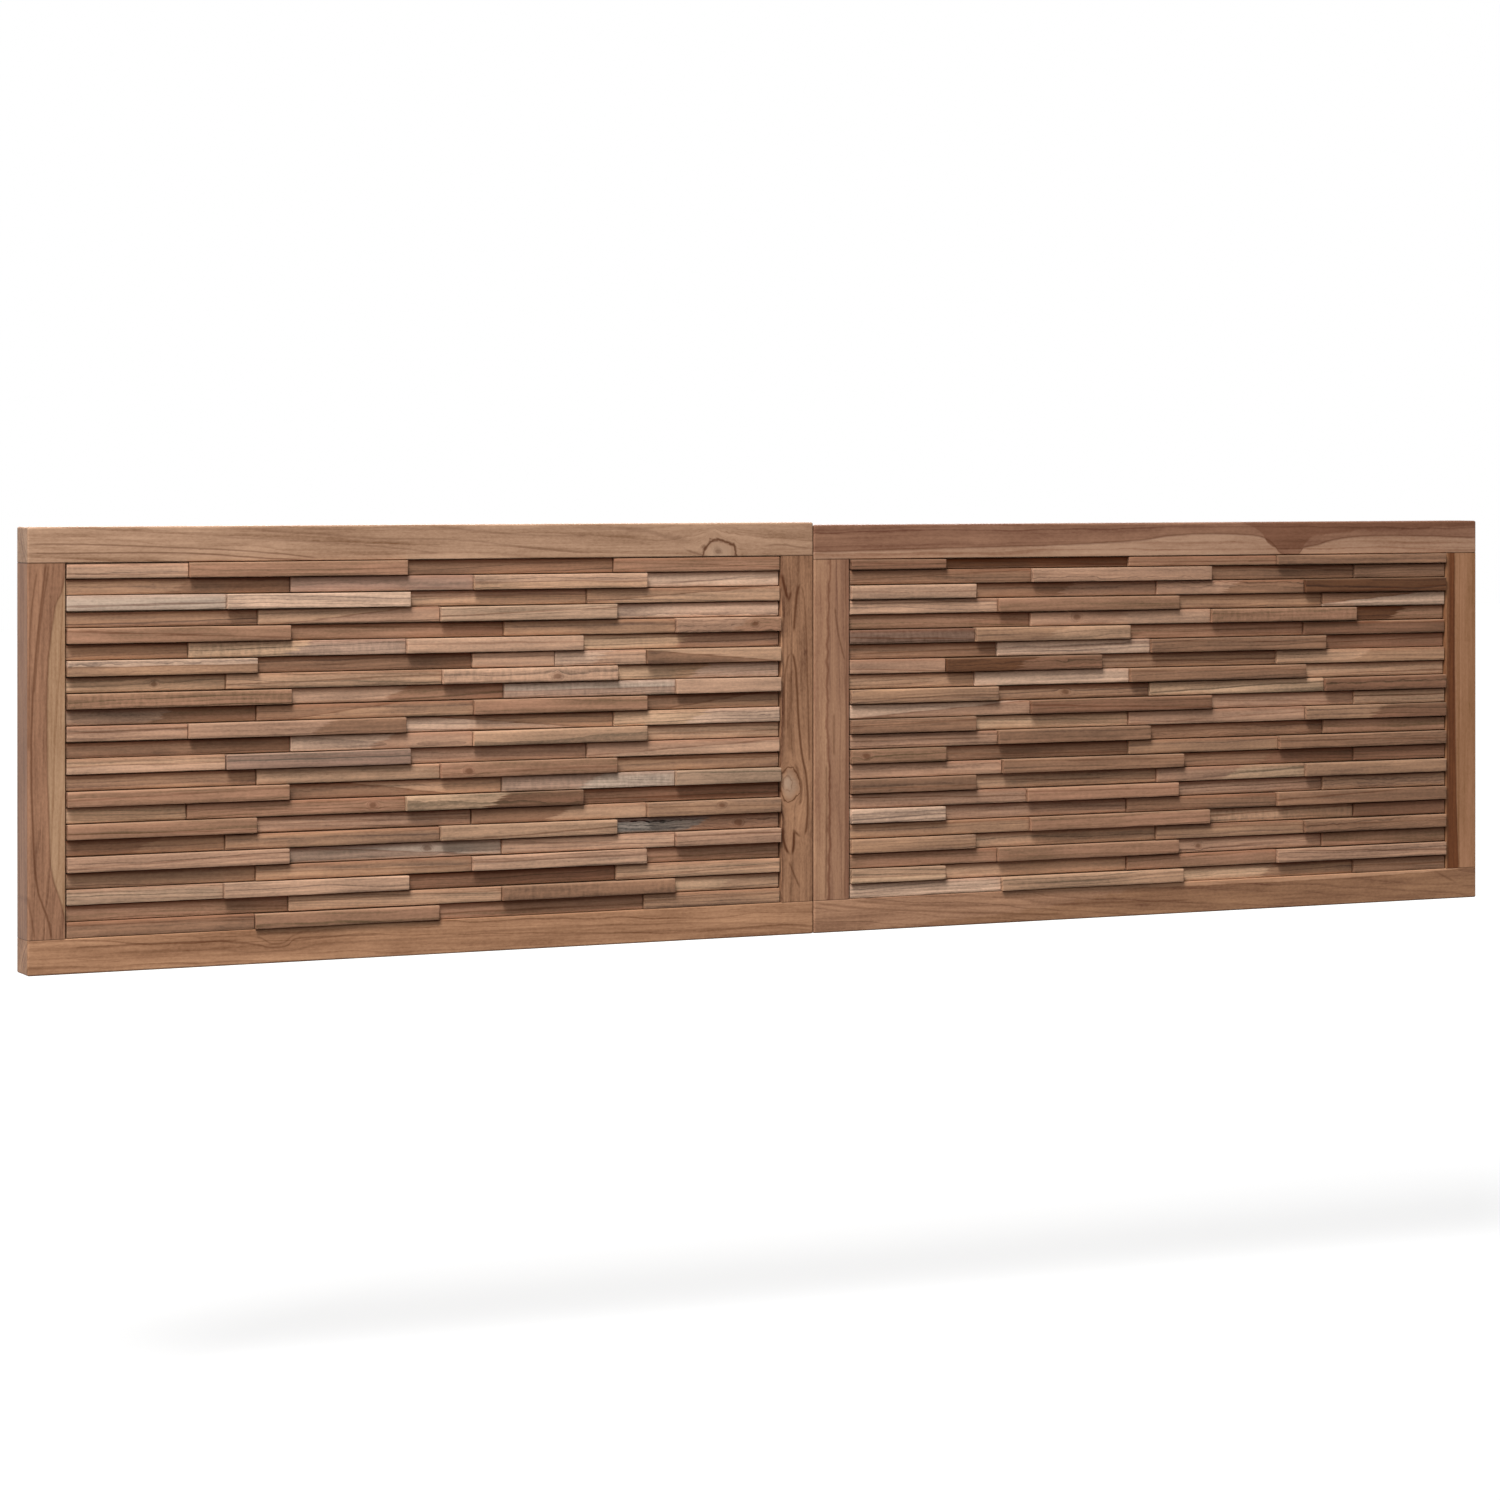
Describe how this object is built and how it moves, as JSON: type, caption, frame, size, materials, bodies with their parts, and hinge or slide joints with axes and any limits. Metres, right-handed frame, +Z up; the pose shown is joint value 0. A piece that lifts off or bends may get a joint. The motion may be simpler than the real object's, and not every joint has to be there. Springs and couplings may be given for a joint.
{
  "type": "headboard",
  "caption": "Wall-hung headboard of two framed teak panels filled with stacked short strips in three thicknesses, hung on keyhole plates.",
  "frame": {"origin": "on the back plane and on the line of the four keyhole entries, midway between them, which is the middle of the seam between the panels", "axes": "+X along the width to the right-hand panel, +Y out of the back to the wall, +Z up"},
  "size_m": [1.8008, 0.042, 0.46],
  "materials": {
    "teak_frame": "sanded and oiled",
    "teak_strips": "rough sawn, oiled",
    "plywood": "sanded",
    "beech_dowels": "raw",
    "screw_steel": "zinc plated",
    "hanger_steel": "zinc plated"
  },
  "bodies": {
    "root": {"left_top_rail": "teak_frame", "left_bottom_rail": "teak_frame", "left_outer_stile": "teak_frame", "left_inner_stile": "teak_frame", "left_backing_board": "plywood", "left_strip_row_01": "teak_strips", "left_strip_row_02": "teak_strips", "left_strip_row_03": "teak_strips", "left_strip_row_04": "teak_strips", "left_strip_row_05": "teak_strips", "left_strip_row_06": "teak_strips", "left_strip_row_07": "teak_strips", "left_strip_row_08": "teak_strips", "left_strip_row_09": "teak_strips", "left_strip_row_10": "teak_strips", "left_strip_row_11": "teak_strips", "left_strip_row_12": "teak_strips", "left_strip_row_13": "teak_strips", "left_strip_row_14": "teak_strips", "left_strip_row_15": "teak_strips", "left_strip_row_16": "teak_strips", "left_strip_row_17": "teak_strips", "left_strip_row_18": "teak_strips", "left_strip_row_19": "teak_strips", "left_strip_row_20": "teak_strips", "left_strip_row_21": "teak_strips", "left_strip_row_22": "teak_strips", "left_strip_row_23": "teak_strips", "right_top_rail": "teak_frame", "right_bottom_rail": "teak_frame", "right_outer_stile": "teak_frame", "right_inner_stile": "teak_frame", "right_backing_board": "plywood", "right_strip_row_01": "teak_strips", "right_strip_row_02": "teak_strips", "right_strip_row_03": "teak_strips", "right_strip_row_04": "teak_strips", "right_strip_row_05": "teak_strips", "right_strip_row_06": "teak_strips", "right_strip_row_07": "teak_strips", "right_strip_row_08": "teak_strips", "right_strip_row_09": "teak_strips", "right_strip_row_10": "teak_strips", "right_strip_row_11": "teak_strips", "right_strip_row_12": "teak_strips", "right_strip_row_13": "teak_strips", "right_strip_row_14": "teak_strips", "right_strip_row_15": "teak_strips", "right_strip_row_16": "teak_strips", "right_strip_row_17": "teak_strips", "right_strip_row_18": "teak_strips", "right_strip_row_19": "teak_strips", "right_strip_row_20": "teak_strips", "right_strip_row_21": "teak_strips", "right_strip_row_22": "teak_strips", "right_strip_row_23": "teak_strips", "frame_dowels": "beech_dowels", "board_screws": "screw_steel", "hanger_plates": "hanger_steel", "hanger_screws": "screw_steel"}
  },
  "joints": []
}
